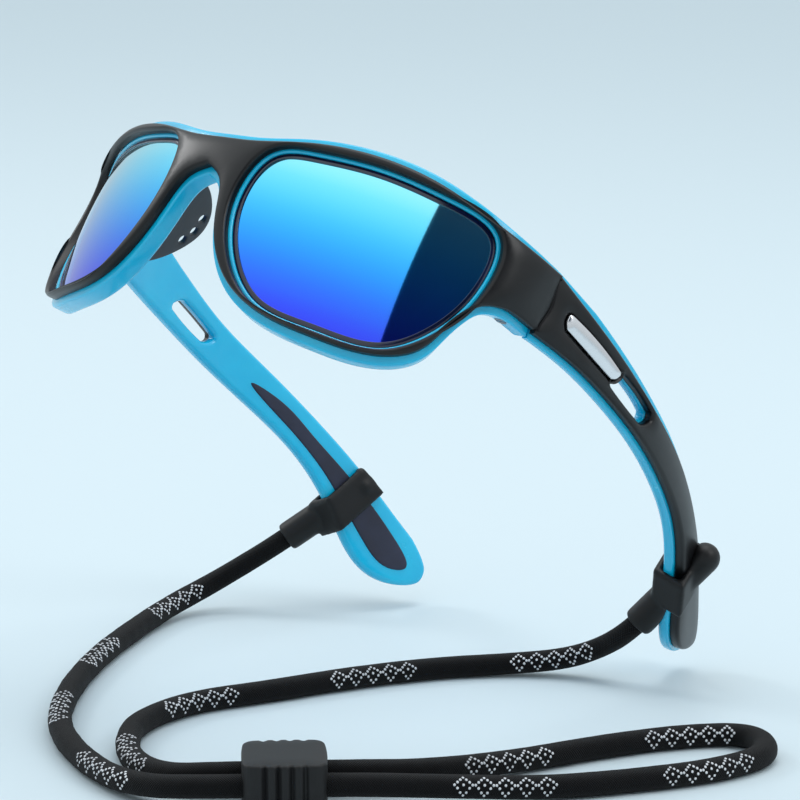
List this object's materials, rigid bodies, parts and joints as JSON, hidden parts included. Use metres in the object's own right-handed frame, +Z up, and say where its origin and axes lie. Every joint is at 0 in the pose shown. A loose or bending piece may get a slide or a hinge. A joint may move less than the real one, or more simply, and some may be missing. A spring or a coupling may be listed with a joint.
{
  "type": "wraparound sport sunglasses",
  "caption": "Two-tone wraparound sport sunglasses with folding temples, mirrored lenses and a neck strap with a sliding bead.",
  "frame": {"origin": "middle of the bridge, at the seat of the outer shell, where the nose carries the glasses", "axes": "+X to the wearer's left, +Y back and +Z up; the glasses are tipped nose-up by 35 degrees about X, as a raised face holds them, so that the strap lies level below the temple tips"},
  "size_m": [0.1916, 0.1624, 0.1385],
  "materials": {
    "shell": "satin black moulded nylon",
    "frame": "glossy cyan moulded nylon",
    "lens": "blue mirror coating on polycarbonate",
    "pad": "soft dark grey rubber",
    "screw": "plated steel",
    "trim": "bright silver plating",
    "grip": "dark navy rubber",
    "sleeve": "black moulded rubber",
    "cord": "black woven elastic with pale woven marks",
    "slider": "dark ribbed rubber"
  },
  "bodies": {
    "front": {"front_shell": "shell", "front_frame": "frame", "lens_left": "lens", "lens_right": "lens", "nose_pad_left": "pad", "nose_pad_right": "pad", "hinge_screw_left": "screw", "hinge_screw_right": "screw", "rim_screw_left": "screw", "rim_screw_right": "screw", "strap_cord_left": "cord", "strap_cord_right": "cord", "strap_loop": "cord"},
    "temple_left": {"temple_outer_left": "shell", "temple_inner_left": "frame", "temple_trim_left": "trim", "temple_grip_left": "grip", "strap_sleeve_left": "sleeve"},
    "temple_right": {"temple_outer_right": "shell", "temple_inner_right": "frame", "temple_trim_right": "trim", "temple_grip_right": "grip", "strap_sleeve_right": "sleeve"},
    "slider": {"strap_slider": "slider"}
  },
  "joints": [
    {"name": "temple_left_fold", "type": "hinge", "parent": "front", "child": "temple_left", "pos_m": [0.0618, 0.04184, -0.02149], "axis": [0, 0.5736, 0.8192], "range_deg": [0, 90], "deforming": ["strap_cord_left"]},
    {"name": "temple_right_fold", "type": "hinge", "parent": "front", "child": "temple_right", "pos_m": [-0.0618, 0.04184, -0.02149], "axis": [0, -0.5736, -0.8192], "range_deg": [0, 78], "deforming": ["strap_cord_right"]},
    {"name": "slider_run", "type": "slide", "parent": "front", "child": "slider", "axis": [0.7001, 0.7141, 0], "range_m": [-0.005, 0.005]}
  ]
}
